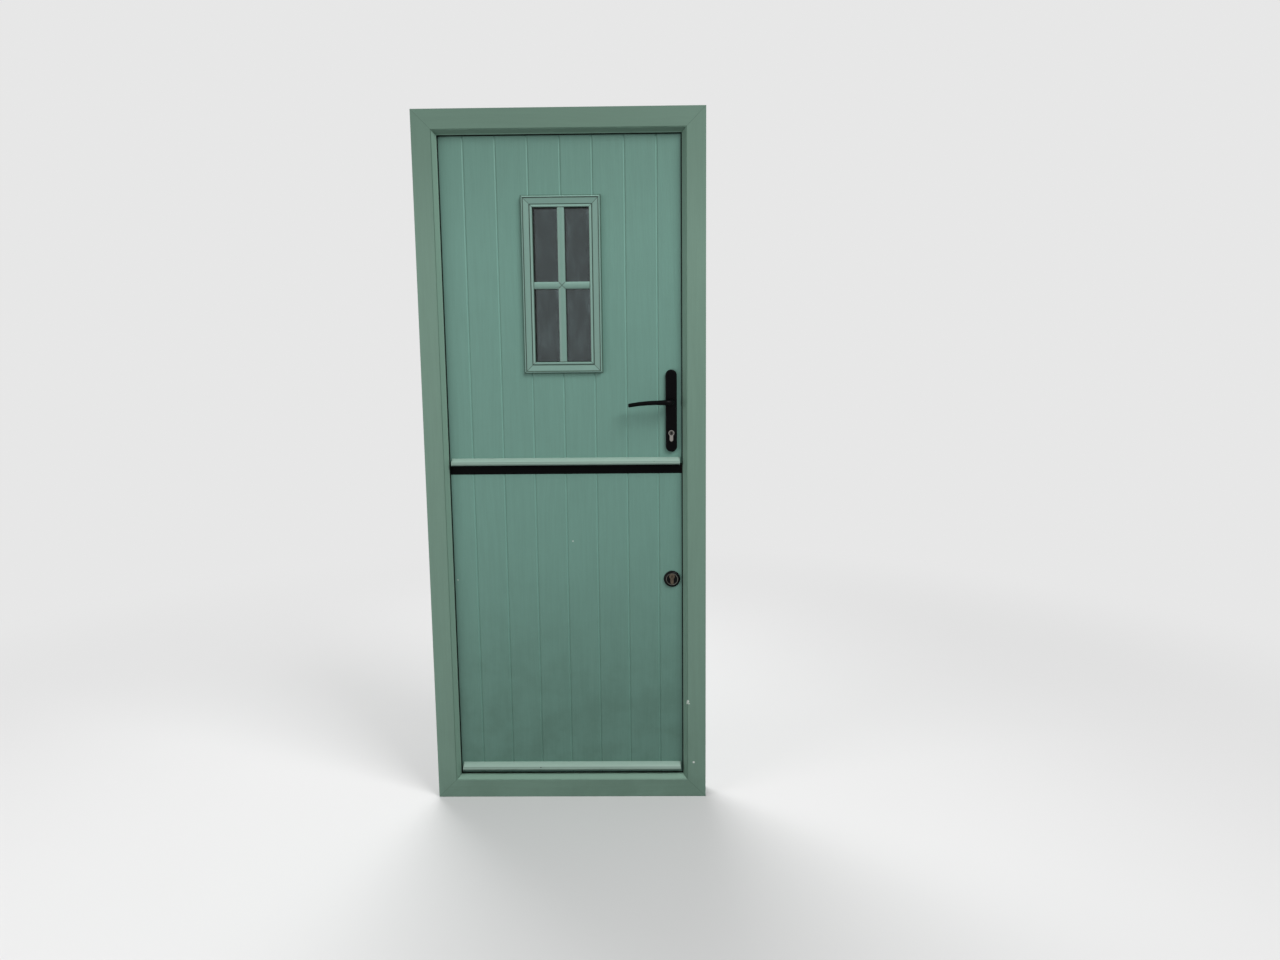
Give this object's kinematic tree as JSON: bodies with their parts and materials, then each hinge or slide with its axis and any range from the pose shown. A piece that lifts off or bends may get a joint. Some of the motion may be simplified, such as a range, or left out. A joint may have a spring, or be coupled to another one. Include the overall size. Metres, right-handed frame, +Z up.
{
  "type": "dutch stable door",
  "caption": "Inward-opening stable door in its frame: two planked leaves on one jamb, a small light and lever above, an escutcheon below, a weather bar on each.",
  "frame": {"origin": "middle of the underside of the frame's sill, at mid depth of the frame", "axes": "+Z up, outside faces -Y, +X towards the lock jamb"},
  "size_m": [0.831, 0.144, 2.054],
  "materials": {
    "frame_foil": "satin",
    "steel": "satin",
    "seal": "matte",
    "hinge_paint": "satin",
    "hinge_pin": "satin",
    "leaf_skin": "satin",
    "black_rail": "matte",
    "weather_bar": "satin",
    "bar_cap": "satin",
    "cassette": "satin",
    "glass": "gloss",
    "spacer": "satin",
    "black_handle": "satin",
    "cylinder": "satin",
    "bronze_cylinder": "satin",
    "keep": "satin"
  },
  "bodies": {
    "frame": {"frame_head": "frame_foil", "frame_hinge_jamb": "frame_foil", "frame_lock_jamb": "frame_foil", "frame_sill": "frame_foil", "frame_steels": "steel", "frame_gasket": "seal", "hinge_frame_plate_1": "hinge_paint", "hinge_frame_plate_2": "hinge_paint", "hinge_frame_plate_3": "hinge_paint", "hinge_frame_plate_4": "hinge_paint", "hinge_pins": "hinge_pin", "upper_keep": "keep", "hook_keeps": "keep"},
    "lower_leaf": {"lower_slab": "leaf_skin", "meeting_rail": "black_rail", "meeting_seal": "seal", "lower_weather_bar": "weather_bar", "lower_weather_bar_caps": "bar_cap", "lower_faceplate": "keep", "lower_lock_case": "steel", "lower_hook_cases": "steel", "lower_cylinder": "bronze_cylinder", "lower_escutcheon_outer": "black_handle", "lower_escutcheon_inner": "black_handle", "hinge_leaf_plate_1": "hinge_paint", "hinge_leaf_plate_2": "hinge_paint", "link_bolt_keep": "black_handle"},
    "upper_leaf": {"upper_slab": "leaf_skin", "upper_bottom_rail": "black_rail", "cassette_outer": "cassette", "cassette_inner": "cassette", "glass_outer": "glass", "glass_inner": "glass", "glass_spacer": "spacer", "glazing_seals": "seal", "upper_weather_bar": "weather_bar", "upper_weather_bar_caps": "bar_cap", "upper_faceplate": "keep", "upper_lock_case": "steel", "upper_hook_case": "steel", "handle_plate_outer": "black_handle", "handle_plate_inner": "black_handle", "upper_cylinder": "cylinder", "hinge_leaf_plate_3": "hinge_paint", "hinge_leaf_plate_4": "hinge_paint", "link_bolt_housing": "black_handle"},
    "levers": {"lever_outer": "black_handle", "lever_inner": "black_handle", "lever_spindle": "steel"},
    "latch": {"latch_bolt": "steel"},
    "upper_turn": {"upper_thumbturn": "cylinder"},
    "dead_bolt": {"dead_bolt": "steel"},
    "upper_hook": {"upper_hook": "steel"},
    "upper_plug": {"upper_key_plug": "cylinder"},
    "lower_turn": {"lower_thumbturn": "bronze_cylinder"},
    "lower_hook_1": {"lower_hook_1": "steel"},
    "lower_hook_2": {"lower_hook_2": "steel"},
    "lower_plug": {"lower_key_plug": "bronze_cylinder"},
    "link_bolt": {"link_bolt": "black_handle"}
  },
  "joints": [
    {"name": "lower_leaf_swing", "type": "hinge", "parent": "frame", "child": "lower_leaf", "pos_m": [-0.362, 0.047, 0], "axis": [0, 0, 1], "range_deg": [0, 90]},
    {"name": "upper_leaf_swing", "type": "hinge", "parent": "lower_leaf", "child": "upper_leaf", "pos_m": [-0.362, 0.047, 0], "axis": [0, 0, 1], "range_deg": [0, 90]},
    {"name": "lever_turn", "type": "hinge", "parent": "upper_leaf", "child": "levers", "pos_m": [0.3145, 0.012, 1.226], "axis": [0, -1, 0], "range_deg": [0, 35], "stiffness_Nm_per_rad": 1.5, "springref_deg": -17.19},
    {"name": "latch_slide", "type": "slide", "parent": "upper_leaf", "child": "latch", "axis": [-1, 0, 0], "range_m": [0, 0.012]},
    {"name": "upper_thumbturn_turn", "type": "hinge", "parent": "upper_leaf", "child": "upper_turn", "pos_m": [0.3145, 0.012, 1.134], "axis": [0, 1, 0], "range_deg": [0, 360]},
    {"name": "dead_bolt_slide", "type": "slide", "parent": "upper_leaf", "child": "dead_bolt", "axis": [1, 0, 0], "range_m": [0, 0.02]},
    {"name": "upper_hook_turn", "type": "hinge", "parent": "upper_leaf", "child": "upper_hook", "pos_m": [0.34, 0.012, 1.7], "axis": [0, 1, 0], "range_deg": [0, 90]},
    {"name": "upper_key_plug_turn", "type": "hinge", "parent": "upper_leaf", "child": "upper_plug", "pos_m": [0.3145, 0.012, 1.134], "axis": [0, 1, 0], "continuous": true},
    {"name": "lower_thumbturn_turn", "type": "hinge", "parent": "lower_leaf", "child": "lower_turn", "pos_m": [0.3145, 0.012, 0.698], "axis": [0, 1, 0], "range_deg": [0, 360]},
    {"name": "lower_hook_1_turn", "type": "hinge", "parent": "lower_leaf", "child": "lower_hook_1", "pos_m": [0.34, 0.012, 0.26], "axis": [0, 1, 0], "range_deg": [0, 90]},
    {"name": "lower_hook_2_turn", "type": "hinge", "parent": "lower_leaf", "child": "lower_hook_2", "pos_m": [0.34, 0.012, 0.87], "axis": [0, 1, 0], "range_deg": [0, 90]},
    {"name": "lower_key_plug_turn", "type": "hinge", "parent": "lower_leaf", "child": "lower_plug", "pos_m": [0.3145, 0.012, 0.698], "axis": [0, 1, 0], "continuous": true},
    {"name": "link_bolt_slide", "type": "slide", "parent": "upper_leaf", "child": "link_bolt", "axis": [0, 0, -1], "range_m": [0, 0.06]}
  ],
  "couplings": [
    {"joint": "latch_slide", "follows": "lever_turn", "m_per_rad": 0.01964},
    {"joint": "upper_thumbturn_turn", "follows": "dead_bolt_slide", "rad_per_m": 314.15},
    {"joint": "upper_hook_turn", "follows": "dead_bolt_slide", "rad_per_m": 78.5},
    {"joint": "lower_hook_1_turn", "follows": "lower_thumbturn_turn", "ratio": 0.2499},
    {"joint": "lower_hook_2_turn", "follows": "lower_thumbturn_turn", "ratio": 0.2499}
  ]
}
